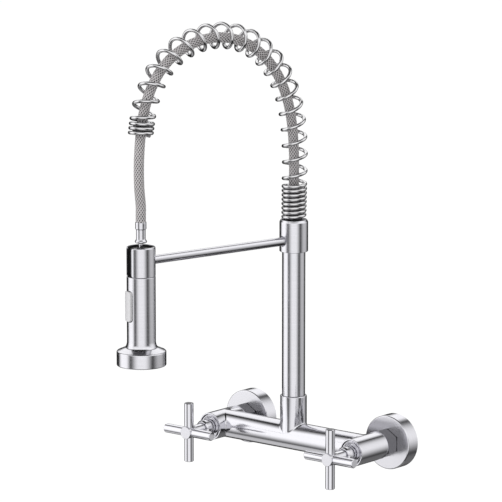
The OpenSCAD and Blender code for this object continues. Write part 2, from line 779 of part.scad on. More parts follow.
// Aerator in the middle of the face.
module aerator() {
    color("gray") on_wand() translate([0, 0, foot_z + 0.8]) difference() {
        cylinder(r = 8.8, h = 9.2);
        translate([0, 0, 3]) cylinder(r = 7.3, h = 8);
        translate([0, 0, -1]) cylinder(r = 7.3, h = 2.4);
        for (x = [-2:2], y = [-2:2]) translate([2.5 * x, 2.5 * y, -1]) cylinder(r = 0.8, h = 6, $fn = 16);
    }
}

wall_adapter(HOT);  // hot_wall_adapter
wall_flange(HOT);  // hot_wall_flange
union_nut(HOT);  // hot_union_nut
inlet_washer(HOT);  // hot_inlet_washer
seat_seal(HOT);  // hot_seat_seal
cartridge(HOT);  // hot_cartridge
fixed_disc(HOT);  // hot_fixed_disc
moving_disc(HOT);  // hot_moving_disc
stem(HOT);  // hot_stem
bonnet(HOT);  // hot_bonnet
handle(HOT);  // hot_handle
handle_screw(HOT);  // hot_handle_screw
index_cap(HOT);  // hot_index_cap
wall_adapter(COLD);  // cold_wall_adapter
wall_flange(COLD);  // cold_wall_flange
union_nut(COLD);  // cold_union_nut
inlet_washer(COLD);  // cold_inlet_washer
seat_seal(COLD);  // cold_seat_seal
cartridge(COLD);  // cold_cartridge
fixed_disc(COLD);  // cold_fixed_disc
moving_disc(COLD);  // cold_moving_disc
stem(COLD);  // cold_stem
bonnet(COLD);  // cold_bonnet
handle(COLD);  // cold_handle
handle_screw(COLD);  // cold_handle_screw
index_cap(COLD);  // cold_index_cap
bridge_body();
riser_lock_screw();
riser_pipe();
riser_o_rings();
collar();
collar_screw();
hose_nipple();
arm_rod();
arm_bolt();
holder_sleeve();
holder_liner();
arch_spring();
arch_hose();
drop_hose();
hose_ferrule();
hose_tail();
spray_neck();
spray_shell();
check_valve();
diverter_housing();
button_pin();
button_plunger();
spray_button();
spray_plate();
spray_face();
aerator();
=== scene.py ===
"""A wall-mounted pre-rinse faucet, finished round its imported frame.

Outlines and routes are in millimetres, in the frame of the axis that a piece is turned on. A finished
piece is in metres, in the frame's own axes.
"""

import math

import bmesh
import bpy
from mathutils import Matrix, Vector


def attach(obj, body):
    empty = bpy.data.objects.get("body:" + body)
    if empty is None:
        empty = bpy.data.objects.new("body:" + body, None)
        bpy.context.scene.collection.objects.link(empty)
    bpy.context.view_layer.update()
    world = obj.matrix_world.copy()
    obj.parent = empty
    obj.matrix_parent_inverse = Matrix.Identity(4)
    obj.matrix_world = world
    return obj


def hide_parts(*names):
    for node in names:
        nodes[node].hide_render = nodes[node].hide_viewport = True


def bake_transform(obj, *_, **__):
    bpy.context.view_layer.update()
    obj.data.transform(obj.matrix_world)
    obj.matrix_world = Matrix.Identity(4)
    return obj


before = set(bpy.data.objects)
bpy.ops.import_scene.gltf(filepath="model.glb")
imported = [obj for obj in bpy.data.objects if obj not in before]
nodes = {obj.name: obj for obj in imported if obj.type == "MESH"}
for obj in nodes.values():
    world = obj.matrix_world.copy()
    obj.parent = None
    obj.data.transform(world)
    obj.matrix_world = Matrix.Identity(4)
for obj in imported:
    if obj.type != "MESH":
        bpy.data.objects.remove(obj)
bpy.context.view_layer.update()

scene = bpy.context.scene

# ---------- sizes of the faucet, in millimetres ----------

INLET_CENTRES = 203.2
BRIDGE_REACH = 57       # from the wall to the cross tube's axis
ARM_REACH = 210         # from the riser's axis to the spray head's
ARM_TURN = 12.9         # degrees from straight out to the arm
SLOT_TURN = 10.5        # degrees from the arm to the holder's slot

THREAD_R, THREAD_DEPTH, THREAD_LEN, THREAD_PITCH = 10.4775, 1.16, 15, 1.814
WAY_R = 7.5             # the water's way
SHANK_R = 10.2
FLANGE_R, FLANGE_T = 30.5, 17
NUT_AF, NUT_LEN = 28, 15
UNION_END = FLANGE_T + NUT_LEN
VALVE_R, VALVE_FRONT = 15.7, 82     # the cross tube is as thick as the valve bodies
TEE_R, TEE_TOP = 15, 47
SET_SCREW_R = 2.1
BONNET_R, BONNET_LEN = 9.5, 14
RECESS_R, RECESS = 14.3, 2.6        # recess in a valve body's front, round its sleeve nut
BARS_AT, BAR_R, BAR_SPAN = 118.5, 5.25, 67.5
HUB_R = 7.25
CAP_AT = BARS_AT + 4.8

RISER_R = 13
COLLAR_R, COLLAR_Z, SEAT_Z = 16, 211, 247
ARM_R, ARM_Z = 4.75, 223.5
RISER_TOP = SEAT_Z - 11
LOCK_Z = 33

GRIP_R = 15.75
HOLDER_Z, HOLDER_H, SLOT_W = 207.8, 32.2, 12.8
LINER_R = GRIP_R - 1.65
BORE_R = GRIP_R - 2.5
NECK_R = LINER_R - 1.9
JOINT_Z = HOLDER_Z - 0.3
BALL_Z, BALL_R = HOLDER_Z + 18, 6.5
TAIL_Z = HOLDER_Z + 36.2
FERRULE_Z, FERRULE_H = TAIL_Z + 14.6, 8.4
FOOT_R, FOOT_Z = 27.1, 109
HEAD_TOP = FOOT_Z + 14.3
BUTTON_Z, BUTTON_W, BUTTON_H, BUTTON_OUT = 175.3, 12.6, 32.6, 1.8
FACE_R = FOOT_R - 2.35

HOSE_R = 5.75
WIRE_R = 2
BEND_R = WIRE_R + 0.6   # the bend by which the wire comes out of the collar
COIL_R, ARCH_SWELL, ARCH_LIFT = 12, 1, 2.4
FOOT_TURNS, OPEN_TURNS, END_TURNS = 7.3, 18.7, 3.1
CLOSED_PITCH, OPEN_PITCH = 4.9, 18.7
WIRE_START = 216        # degrees round the riser to the wire's hole

# ---------- where the axes are ----------

MILLIMETRES = Matrix.Scale(0.001, 4)


def shift(x, y, z):
    return Matrix.Translation((x, y, z))


def turn(degrees, axis):
    return Matrix.Rotation(math.radians(degrees), 4, axis)


SIDES = {"hot": -1, "cold": 1}
AT_BRIDGE = shift(0, -BRIDGE_REACH, 0)
ALONG_BRIDGE = AT_BRIDGE @ turn(90, "Y")
ALONG_ARM = turn(90, "X")       # stands a turned piece's axis along the arm, from the riser outwards
TO_WALL = turn(-90, "X")        # and the other way
ON_RISER = MILLIMETRES @ AT_BRIDGE @ turn(-ARM_TURN, "Z")
ON_WAND = ON_RISER @ shift(0, -ARM_REACH, 0) @ turn(-SLOT_TURN, "Z")


def along_valve(side):
    """A valve's axis, with height measured from the wall."""
    return shift(SIDES[side] * INLET_CENTRES / 2, 0, 0) @ turn(90, "X")


def on_valve(side):
    return MILLIMETRES @ along_valve(side)


# ---------- making shapes ----------

ROUND_SEGMENTS = 3
OUTLINE = "outline"     # attribute: distance along the outline that a surface was turned from, in metres


def rounded_off(bm, geom, size, segments, affect="EDGES", clamp_overlap=False):
    bmesh.ops.bevel(bm, geom=geom, offset=size, offset_type="OFFSET", segments=segments, profile=0.5,
                    affect=affect, material=-1, clamp_overlap=clamp_overlap)


def mark_outline(bm):
    """Writes on each point of an outline how far along it the point lies."""
    run = bm.verts.layers.float.new(OUTLINE)
    here = min(bm.verts, key=lambda v: (v.co.x, v.co.z))
    seen, length = set(), 0.0
    while here is not None:
        seen.add(here)
        here[run] = length / 1000
        onward = next((e.other_vert(here) for e in here.link_edges if e.other_vert(here) not in seen), None)
        length += (onward.co - here.co).length if onward else 0
        here = onward


def turned(points, steps=128, closed=True):
    """A shell turned round Z from an outline of (radius, height) or (radius, height, corner's rounding)."""
    bm = bmesh.new()
    corners = [bm.verts.new((p[0], 0, p[1])) for p in points]
    ends = zip(corners, corners[1:] + corners[:1]) if closed else zip(corners, corners[1:])
    for pair in ends:
        bm.edges.new(pair)
    for size in sorted({p[2] for p in points if len(p) > 2}):
        rounded = [v for v, p in zip(corners, points) if len(p) > 2 and p[2] == size]
        rounded_off(bm, rounded, size, ROUND_SEGMENTS, "VERTICES")
    mark_outline(bm)
    bmesh.ops.spin(bm, geom=bm.verts[:] + bm.edges[:], cent=(0, 0, 0), axis=(0, 0, 1), angle=2 * math.pi,
                   steps=steps, use_merge=True)
    return tidy(bm)


def arc(centre_r, centre_z, radius, start, stop, count=6):
    """Points of an arc in an outline."""
    angles = [math.radians(start + (stop - start) * i / count) for i in range(count + 1)]
    return [(centre_r + radius * math.cos(a), centre_z + radius * math.sin(a)) for a in angles]


def tidy(bm):
    """Merges what coincides and turns every face outwards."""
    bmesh.ops.remove_doubles(bm, verts=bm.verts[:], dist=0.0005)
    bmesh.ops.dissolve_degenerate(bm, edges=bm.edges[:], dist=0.0002)
    bmesh.ops.recalc_face_normals(bm, faces=bm.faces[:])
    return bm


def rod(radius, low, high, edge, steps=96):
    """A solid round bar with chamfered ends."""
    return turned([(0, low), (radius - edge, low), (radius, low + edge), (radius, high - edge),
                   (radius - edge, high), (0, high)], steps, closed=False)


def plain(radius, low, high, steps=96):
    """A solid round bar with square ends, for cutting."""
    return turned([(0, low), (radius, low), (radius, high), (0, high)], steps, closed=False)


def pushed(bm, way):
    """A flat outline pushed out into a block."""
    grown = bmesh.ops.extrude_face_region(bm, geom=bm.faces[:])
    moved = [v for v in grown["geom"] if isinstance(v, bmesh.types.BMVert)]
    bmesh.ops.translate(bm, verts=moved, vec=way)
    return tidy(bm)


def prism(outline, low, high, rounding=0.0, rounded=None):
    """An outline of (x, z) points pushed out along -Y, with all its corners rounded or those listed."""
    bm = bmesh.new()
    corners = [bm.verts.new((x, -low, z)) for x, z in outline]
    bm.faces.new(corners)
    if rounding:
        rounded_off(bm, [corners[i] for i in rounded] if rounded else corners, rounding, 8, "VERTICES")
    return pushed(bm, (0, low - high, 0))


def rectangle(width, low, high):
    return [(-width / 2, low), (width / 2, low), (width / 2, high), (-width / 2, high)]


def placed(bm, matrix):
    bmesh.ops.transform(bm, matrix=matrix, verts=bm.verts[:])
    return bm


def as_object(name, bm):
    mesh = bpy.data.meshes.new(name)
    bm.to_mesh(mesh)
    bm.free()
    made = bpy.data.objects.new(name, mesh)
    scene.collection.objects.link(made)
    return made


def combined(base, tool, operation):
    """Two closed shells united, cut or crossed."""
    body, other = as_object("blank", base), as_object("cutter", tool)
    change = body.modifiers.new("combine", "BOOLEAN")
    change.operation = operation
    change.solver = "EXACT"
    change.object = other
    bm = bmesh.new()
    bm.from_object(body, bpy.context.evaluated_depsgraph_get())
    for spent in (body, other):
        mesh = spent.data
        bpy.data.objects.remove(spent)
        bpy.data.meshes.remove(mesh)
    return tidy(bm)


def united(*shells):
    whole = shells[0]
    for shell in shells[1:]:
        whole = combined(whole, shell, "UNION")
    return whole


def cut(base, *tools):
    for tool in tools:
        base = combined(base, tool, "DIFFERENCE")
    return base


def joined(*shells):
    """Closed shells kept apart in one mesh."""
    whole = shells[0]
    for shell in shells[1:]:
        mesh = bpy.data.meshes.new("shell")
        shell.to_mesh(mesh)
        shell.free()
        whole.from_mesh(mesh)
        bpy.data.meshes.remove(mesh)
    return whole


def sharp_edges(bm, least):
    """The edges that turn by more than an angle in degrees."""
    return [e for e in bm.edges if e.is_manifold and math.degrees(e.calc_face_angle()) > least]


def softened(bm, size, least, segments=2):
    rounded_off(bm, sharp_edges(bm, least), size, segments, clamp_overlap=True)
    return tidy(bm)


def filleted(bm, size):
    """Fills the inner corners where two barrels cross with a small round."""
    sliver, least = 0.25, 25
    bmesh.ops.remove_doubles(bm, verts=bm.verts[:], dist=sliver)
    rounded_off(bm, [e for e in sharp_edges(bm, least) if not e.is_convex], size, 3)
    return tidy(bm)


def metres(bm, place):
    """A shape brought from millimetres on its own axis to its place."""
    placed(bm, place)
    bmesh.ops.recalc_face_normals(bm, faces=bm.faces[:])
    return bm


def finished(name, bm, place, material, body, stands_for, sharp=40):
    """Puts a shape in its place and hangs it on its body."""
    made = as_object(name, metres(bm, place))
    made.data.shade_smooth()
    made.data.set_sharp_from_angle(angle=math.radians(sharp))
    even = made.modifiers.new("even_normals", "WEIGHTED_NORMAL")
    even.keep_sharp = True
    made.data.materials.append(material)
    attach(made, body)
    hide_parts(*stands_for)


# ---------- finishes ----------


class Wire:
    """What a node gives out. Python's operators on it add Math nodes."""

    def __init__(self, recipe, socket):
        self.recipe = recipe
        self.socket = socket

    def __add__(self, other):
        return self.recipe.maths("ADD", self, other)

    def __radd__(self, other):
        return self.recipe.maths("ADD", other, self)

    def __sub__(self, other):
        return self.recipe.maths("SUBTRACT", self, other)

    def __rsub__(self, other):
        return self.recipe.maths("SUBTRACT", other, self)

    def __mul__(self, other):
        return self.recipe.maths("MULTIPLY", self, other)

    def __rmul__(self, other):
        return self.recipe.maths("MULTIPLY", other, self)

    def __truediv__(self, other):
        return self.recipe.maths("DIVIDE", self, other)

    def __gt__(self, other):
        return self.recipe.maths("GREATER_THAN", self, other)

    def __lt__(self, other):
        return self.recipe.maths("LESS_THAN", self, other)

    def __abs__(self):
        return self.recipe.maths("ABSOLUTE", self)


class Recipe:
    """The nodes of one material or of the world."""

    def __init__(self, owner):
        owner.use_nodes = True
        self.tree = owner.node_tree
        self.tree.nodes.clear()

    def node(self, kind, settings=None, inputs=None, output=0):
        made = self.tree.nodes.new(kind)
        for key, value in (settings or {}).items():
            setattr(made, key, value)
        for key, value in (inputs or {}).items():
            if isinstance(value, Wire):
                self.tree.links.new(value.socket, made.inputs[key])
            else:
                made.inputs[key].default_value = value
        return Wire(self, made.outputs[output]) if len(made.outputs) else None

    def maths(self, operation, *values):
        return self.node("ShaderNodeMath", {"operation": operation}, dict(enumerate(values)))

    def mix(self, share, first, second):
        return self.node("ShaderNodeMix", {"data_type": "RGBA"}, {0: share, 6: first, 7: second}, 2)

    def noise(self, place, feature, detail=2, turned_by=0.0):
        """Cloudy pattern, 0 to 1, with a feature size in metres along each axis."""
        size = (feature,) * 3 if isinstance(feature, (int, float)) else feature
        mapped = self.node("ShaderNodeMapping", {"vector_type": "TEXTURE"},
                           {"Vector": place, "Rotation": (0, 0, math.radians(turned_by)), "Scale": size})
        return self.node("ShaderNodeTexNoise", {}, {"Vector": mapped, "Scale": 1, "Detail": detail}, 0)

    def surface(self, inputs):
        shader = self.node("ShaderNodeBsdfPrincipled", {}, inputs)
        self.node("ShaderNodeOutputMaterial", {}, {"Surface": shader})


NICKEL, STEEL, YELLOW_BRASS = (1, 0.993, 1.045), (1, 0.993, 1.01), (1, 0.76, 0.40)


def shade(level, tone=NICKEL):
    """A colour at a linear level."""
    return tuple(min(1, level * part) for part in tone) + (1,)


def new_material(name):
    made = bpy.data.materials.new(name)
    return made, Recipe(made)


BRUSH = 0.0011      # distance between the coarser brush lines
STROKE = 0.05       # length of a brush line
BRUSH_DEPTH = 0.00001
HANDLING = 0.04     # how far handling clouds the roughness

LINE_SIZES = {"x": (BRUSH, STROKE, STROKE), "y": (STROKE, BRUSH, STROKE), "z": (STROKE, STROKE, BRUSH)}


def brush_lines(recipe, place, lay, turned_by=0.0):
    """Fine lines round an axis, or along the outline that the piece was turned from."""
    if lay != OUTLINE:
        return recipe.noise(place, LINE_SIZES[lay], 4, turned_by)
    run = recipe.node("ShaderNodeAttribute", {"attribute_name": OUTLINE}, output="Fac")
    around = recipe.node("ShaderNodeVectorMath", {"operation": "SCALE"}, {0: place, "Scale": 1 / STROKE})
    rings = recipe.node("ShaderNodeCombineXYZ", {}, {"X": run / BRUSH})
    both = recipe.node("ShaderNodeVectorMath", {"operation": "ADD"}, {0: around, 1: rings})
    return recipe.node("ShaderNodeTexNoise", {}, {"Vector": both, "Scale": 1, "Detail": 4}, 0)


def streaked(recipe, share, level, spread, tone=NICKEL):
    """A colour that runs from a little darker than its level to a little paler."""
    return recipe.mix(share, shade(level * (1 - spread), tone), shade(level * (1 + spread), tone))


def metal(name, level, roughness, lay, lines_of=0.08, relief=0.35, tone=NICKEL, turned_by=0.0, face=1.0):
    """Plated or bare metal: brush lines in its colour, roughness and relief, and a faint cloud of handling.

    Where face is below 1, the flat faces that look away from the wall are ground rougher than the rest, and
    their colour is darkened by that factor as painted shade.
    """
    made, recipe = new_material(name)
    place = recipe.node("ShaderNodeTexCoord", output="Object")
    lines = brush_lines(recipe, place, lay, turned_by)
    cloud = recipe.noise(place, 0.02, 3)
    tint = streaked(recipe, lines * 0.7 + cloud * 0.3, level, lines_of, tone)
    rough = roughness + (lines - 0.5) * lines_of + (cloud - 0.5) * HANDLING
    if face < 1:
        outwards, rougher = -0.98, 0.09
        way = recipe.node("ShaderNodeNewGeometry", output="True Normal")
        flat = recipe.node("ShaderNodeSeparateXYZ", {}, {0: way}, "Y") < outwards
        # painted shade: flat faces looking away from the wall are darker by the face factor
        tint = recipe.mix(flat, tint, streaked(recipe, lines, level * face, 0.03, tone))
        rough = rough + flat * rougher
    bump = recipe.node("ShaderNodeBump", {}, {"Strength": relief, "Distance": BRUSH_DEPTH, "Height": lines})
    recipe.surface({"Base Color": tint, "Metallic": 1.0, "Normal": bump, "Roughness": rough})
    return made


def bridge_metal(name, level, roughness):
    """The casting's finish, with brush lines round whichever of its barrels a place is on."""
    tee_from = 0.014    # height from which the riser's socket has a barrel of its own, in metres
    made, recipe = new_material(name)
    place = recipe.node("ShaderNodeTexCoord", output="Object")
    x, z = (recipe.node("ShaderNodeSeparateXYZ", {}, {0: place}, axis) for axis in "XZ")
    on_valves = abs(x) > (INLET_CENTRES / 2 - VALVE_R) / 1000
    on_tee = (abs(x) < TEE_R / 1000) * (z > tee_from)
    lines = (brush_lines(recipe, place, "y") * on_valves + brush_lines(recipe, place, "z") * on_tee
             + brush_lines(recipe, place, "x") * (1 - on_valves) * (1 - on_tee))
    cloud = recipe.noise(place, 0.018, 3)
    tint = streaked(recipe, lines * 0.6 + cloud * 0.4, level, 0.05)
    bump = recipe.node("ShaderNodeBump", {}, {"Strength": 0.2, "Distance": BRUSH_DEPTH, "Height": lines})
    recipe.surface({"Base Color": tint, "Metallic": 1.0, "Normal": bump,
                    "Roughness": roughness + (lines - 0.5) * 0.05 + (cloud - 0.5) * HANDLING})
    return made


def moulded(name, colour, roughness, gloss=0.5, grain=0.0004, relief=0.3, spread=0.08):
    """Moulded plastic, rubber or ceramic: fine grain, faint flow marks and a slight change of colour."""
    made, recipe = new_material(name)
    place = recipe.node("ShaderNodeTexCoord", output="Object")
    pores = recipe.noise(place, grain, 2)
    flow = recipe.noise(place, (0.012, 0.012, 0.03), 3)
    tint = streaked(recipe, flow * 0.7 + pores * 0.3, 1, spread, colour)
    bump = recipe.node("ShaderNodeBump", {}, {"Strength": relief, "Distance": 0.00002, "Height": pores})
    recipe.surface({"Base Color": tint, "Normal": bump, "Specular IOR Level": gloss,
                    "Roughness": roughness + (flow - 0.5) * 0.08 + (pores - 0.5) * 0.06})
    return made


WEAVE_SHADING = "weave_shading"     # attribute: painted shade of the braid, from how far out the yarn lies, 0 between the yarns and 1 on the crests, and lower inside the spring's closed turns


def braided(name, yarn, crevice_shade):
    """Woven sleeve: yarn with painted shade that darkens it down into the crevices between yarns, with fine
    threads along it.
    """
    made, recipe = new_material(name)
    place = recipe.node("ShaderNodeTexCoord", output="Object")
    weave_shading = recipe.node("ShaderNodeAttribute", {"attribute_name": WEAVE_SHADING}, output="Fac")
    fuzz = recipe.noise(place, 0.00045, 3)
    patches = recipe.noise(place, 0.006, 2)
    # painted shade: the yarn's colour falls to the dark crevice colour where it lies low, and inside the
    # closed turns
    lit = recipe.node("ShaderNodeMapRange", {"interpolation_type": "SMOOTHSTEP"},
                      {"Value": weave_shading, "From Min": 0.12, "From Max": 0.6})
    thread = recipe.mix(fuzz * 0.6 + patches * 0.4, shade(0.8, yarn), shade(1.25, yarn))
    bump = recipe.node("ShaderNodeBump", {}, {"Strength": 0.5, "Distance": 0.00008, "Height": fuzz})
    recipe.surface({"Base Color": recipe.mix(lit, crevice_shade + (1,), thread), "Roughness": 0.5 + (fuzz - 0.5) * 0.2,
                    "Normal": bump, "Specular IOR Level": 0.5})
    return made


SATIN = {lay: metal(f"brushed_nickel_{lay}", 0.64, 0.17, lay) for lay in ("y", "z", OUTLINE)}
WAND_FINISH = metal("brushed_nickel_wand", 0.64, 0.18, "z", 0.13, 0.04)
ARM_FINISH = metal("brushed_nickel_arm", 0.64, 0.15, "y", 0.05, 0.2, turned_by=-ARM_TURN)
BRIDGE_FINISH = bridge_metal("brushed_nickel_bridge", 0.64, 0.13)
# painted shade: its flat faces that look away from the wall are 5% darker
POLISHED = metal("polished_nickel", 0.64, 0.16, OUTLINE, 0.05, 0.15, face=0.95)
HANDLE_FINISH = metal("handle_nickel", 0.66, 0.08, "z", 0.04, 0.1)
SPRING_FINISH = metal("spring_steel", 0.64, 0.11, "z", 0.05, 0.1, STEEL)
NUT_FINISH = metal("nut_steel", 0.20, 0.24, "y", 0.08, 0.4)
BRASS_BARE = metal("bare_brass", 0.74, 0.3, "y", 0.1, 0.3, YELLOW_BRASS)
SCREW_FINISH = metal("screw_steel", 0.45, 0.35, "z", 0.1, 0.3, STEEL)
# the second colour is painted shade for the crevices between the yarns
HOSE_FINISH = braided("woven_sleeve", (0.48, 0.46, 0.465), (0.008, 0.008, 0.009))
BLACK = moulded("black_plastic", (0.010, 0.010, 0.011), 0.5, 0.2)
BUTTON_FINISH = moulded("button_plastic", (0.60, 0.595, 0.61), 0.38, 0.5)
GREY_RUBBER = moulded("grey_rubber", (0.10, 0.10, 0.104), 0.6, 0.3)
SEAL_RUBBER = moulded("seal_rubber", (0.02, 0.02, 0.021), 0.65, 0.3)
CERAMIC = moulded("white_ceramic", (0.82, 0.82, 0.80), 0.25, 0.5, 0.0003, 0.15, 0.03)
PALE_PLASTIC = moulded("pale_plastic", (0.62, 0.60, 0.52), 0.45)
INNER_PLASTIC = moulded("inner_plastic", (0.05, 0.05, 0.052), 0.5, 0.4)

# ---------- wall connection ----------


def thread_ridge(low, high, root, crest, pitch):
    """One ridge of pipe thread wound round Z, rooted just under the surface that it stands on."""
    steps, rooted = 48, root - 0.1
    bm = bmesh.new()
    corners = [bm.verts.new((radius, 0, low + share * pitch))
               for radius, share in ((rooted, 0.05), (crest, 0.5), (rooted, 0.95))]
    for a, b in zip(corners, corners[1:] + corners[:1]):
        bm.edges.new((a, b))
    turns = (high - low) / pitch - 1
    bmesh.ops.spin(bm, geom=bm.verts[:] + bm.edges[:], cent=(0, 0, 0), axis=(0, 0, 1),
                   angle=2 * math.pi * turns, steps=round(steps * turns), dvec=(0, 0, pitch / steps),
                   use_merge=False)
    bmesh.ops.holes_fill(bm, edges=[e for e in bm.edges if e.is_boundary])
    bmesh.ops.recalc_face_normals(bm, faces=bm.faces[:])
    return bm


def wall_adapter(side):
    root, chamfer, runout = THREAD_R - THREAD_DEPTH, 0.6, 0.3
    seal_r, seal_end = 11.4, FLANGE_T + 9
    tube = turned([(WAY_R, -THREAD_LEN), (root - chamfer, -THREAD_LEN), (root, -THREAD_LEN + chamfer),
                   (root, -chamfer), (SHANK_R, 0, 0.2), (SHANK_R, FLANGE_T), (seal_r, FLANGE_T, 0.3),
                   (seal_r, seal_end, 0.4), (WAY_R, seal_end)], 96)
    ridge = thread_ridge(-THREAD_LEN + runout, -runout, root, THREAD_R, THREAD_PITCH)
    finished(f"{side}_pipe_end", joined(tube, ridge), on_valve(side), BRASS_BARE, "bridge",
             [f"{side}_wall_adapter"], 25)


def wall_flange(side):
    inner, hole, front = FLANGE_R - 1.5, SHANK_R + 0.3, FLANGE_T - 1
    bm = turned([(FLANGE_R, 0, 0.2), (FLANGE_R, FLANGE_T, 1.4), (hole, FLANGE_T, 0.2), (hole, front),
                 (inner, front, 0.8), (inner, 0, 0.2)], 160)
    finished(f"{side}_flange_cup", bm, on_valve(side), POLISHED, "bridge",
             [f"{side}_wall_flange"])


def union_nut(side):
    flat_r, hole, back = NUT_AF / 2, 11.7, FLANGE_T + 0.5
    corner_r = flat_r / math.cos(math.radians(30))
    hexagon = bmesh.new()
    bmesh.ops.create_circle(hexagon, cap_ends=True, segments=6, radius=corner_r, matrix=shift(0, 0, back))
    block = pushed(hexagon, (0, 0, UNION_END + 1 - back))
    chamfers = turned([(hole, back - 1), (flat_r - 0.3, back - 1), (flat_r + 0.2, back),
                       (corner_r + 1, back + 0.7), (corner_r + 1, UNION_END - 1.4),
                       (flat_r - 0.4, UNION_END), (hole, UNION_END)], 96)
    bm = softened(combined(block, chamfers, "INTERSECT"), 0.2, 25)
    finished(f"{side}_hex_nut", bm, on_valve(side), NUT_FINISH, "bridge", [f"{side}_union_nut"])


# ---------- bridge ----------


def bridge_body():
    back, front = 3, 0.6        # rounding of a valve body's two ends
    union_r, union_floor = 11.2, 28.2
    pocket_r, pocket_floor = 11, 46
    way_low, way_high, bore_r = 27, 60, 8
    socket_r, socket_floor = 11.05, 6
    half = INLET_CENTRES / 2 - 1
    barrel = ([(0, union_floor), (union_r, union_floor), (union_r, UNION_END)]
              + arc(VALVE_R - back, UNION_END + back, back, -90, 0)
              + arc(VALVE_R - front, VALVE_FRONT - front, front, 0, 90, 3)
              + [(RECESS_R, VALVE_FRONT), (RECESS_R, VALVE_FRONT - RECESS), (0, VALVE_FRONT - RECESS)])
    hot, cold = (placed(turned(barrel, 192, closed=False), along_valve(side)) for side in SIDES)
    tube = placed(plain(VALVE_R, -half, half, 192), ALONG_BRIDGE)
    tee = turned([(0, 0), (TEE_R, 0), (TEE_R, TEE_TOP, 1.0), (0, TEE_TOP)], 192, closed=False)
    whole = united(hot, tube, cold, placed(tee, AT_BRIDGE))
    tools = [placed(plain(pocket_r, pocket_floor, VALVE_FRONT + 1), along_valve(side)) for side in SIDES]
    tools += [placed(plain(WAY_R, way_low, way_high), along_valve(side)) for side in SIDES]
    tools.append(placed(plain(bore_r, -half, half), ALONG_BRIDGE))
    tools.append(placed(plain(socket_r, socket_floor, TEE_TOP + 1), AT_BRIDGE))
    tools.append(placed(plain(SET_SCREW_R, 5, 25, 32), shift(0, -BRIDGE_REACH, LOCK_Z) @ TO_WALL))
    bm = softened(cut(filleted(whole, 1.5), *tools), 0.25, 32)
    finished("valve_bridge", bm, MILLIMETRES, BRIDGE_FINISH, "bridge", ["bridge_body"], 30)


# ---------- valves and handles ----------


def bonnet(side):
    top, back, floor_at = VALVE_FRONT + BONNET_LEN, 76, VALVE_FRONT - RECESS
    thread_r, lip_r, nose_r, hole = 10.95, 12.4, BONNET_R - 0.4, 6.3
    lip_front, groove, chamfer, edge = VALVE_FRONT + 0.3, VALVE_FRONT - 1, 1.6, 0.3
    bm = turned([(thread_r, back), (thread_r, floor_at), (lip_r, floor_at), (lip_r, lip_front, edge),
                 (10.8, lip_front, edge), (10.3, groove), (nose_r, groove), (nose_r, top - chamfer, edge),
                 (nose_r - chamfer, top, edge), (hole, top, 0.2), (hole, back)])
    finished(f"{side}_sleeve_nut", bm, on_valve(side), SATIN[OUTLINE], "bridge",
             [f"{side}_bonnet"])


def handle(side):
    neck_r, screw_r, stem_r = 6, 5.3, 4.05
    back, front, clear = VALVE_FRONT + BONNET_LEN - 2, CAP_AT + 1, CAP_AT + 5
    hub = turned([(0, back), (neck_r, back), (neck_r, BARS_AT - 6.5), (HUB_R, BARS_AT - 6),
                  (HUB_R, front), (0, front)], 96, closed=False)
    bars = [placed(rod(BAR_R, -BAR_SPAN / 2, BAR_SPAN / 2, 0.7), shift(0, 0, BARS_AT) @ way)
            for way in (turn(90, "X"), turn(90, "Y"))]
    bm = cut(united(hub, *bars), plain(HUB_R + 0.05, CAP_AT, clear), plain(screw_r, BARS_AT - 3, clear),
             plain(stem_r, VALVE_FRONT, BARS_AT - 10.5))
    finished(f"{side}_cross_handle", softened(bm, 0.25, 25), on_valve(side), HANDLE_FINISH,
             f"{side}_handle", [f"{side}_handle"])


def index_cap(side):
    peg_r, front, chamfer = 5.2, CAP_AT + 1.7, 0.4
    bm = turned([(0, CAP_AT - 3), (peg_r, CAP_AT - 3), (peg_r, CAP_AT), (HUB_R, CAP_AT),
                 (HUB_R, front - chamfer, 0.12), (HUB_R - chamfer, front, 0.12), (0, front)],
                96, closed=False)
    finished(f"{side}_cap_disc", bm, on_valve(side), POLISHED, f"{side}_handle",
             [f"{side}_index_cap"])


# ---------- riser, collar and arm ----------


def riser_pipe():
    spigot_r, bottom, foot, edge = 11, 21, TEE_TOP + 0.2, 0.15
    inner, inner_from = RISER_R - 2, 62
    o_ring, lock = (2.2, 9.3), (4.6, 9.8)       # height of a groove and radius of its floor
    grooves = []
    for low, (height, floor_r) in ((26, o_ring), (LOCK_Z - lock[0] / 2, lock), (39, o_ring)):
        grooves += [(spigot_r, low), (floor_r, low), (floor_r, low + height), (spigot_r, low + height)]
    bm = turned([(WAY_R, bottom + 0.2), (spigot_r - 0.6, bottom + 0.2), (spigot_r, bottom + 1)] + grooves
                + [(spigot_r, foot), (RISER_R - edge, foot), (RISER_R, foot + edge), (RISER_R, RISER_TOP),
                   (inner, RISER_TOP), (inner, inner_from), (WAY_R, inner_from)], 160)
    finished("riser_tube", bm, ON_RISER, SATIN["z"], "spout", ["riser_pipe"])


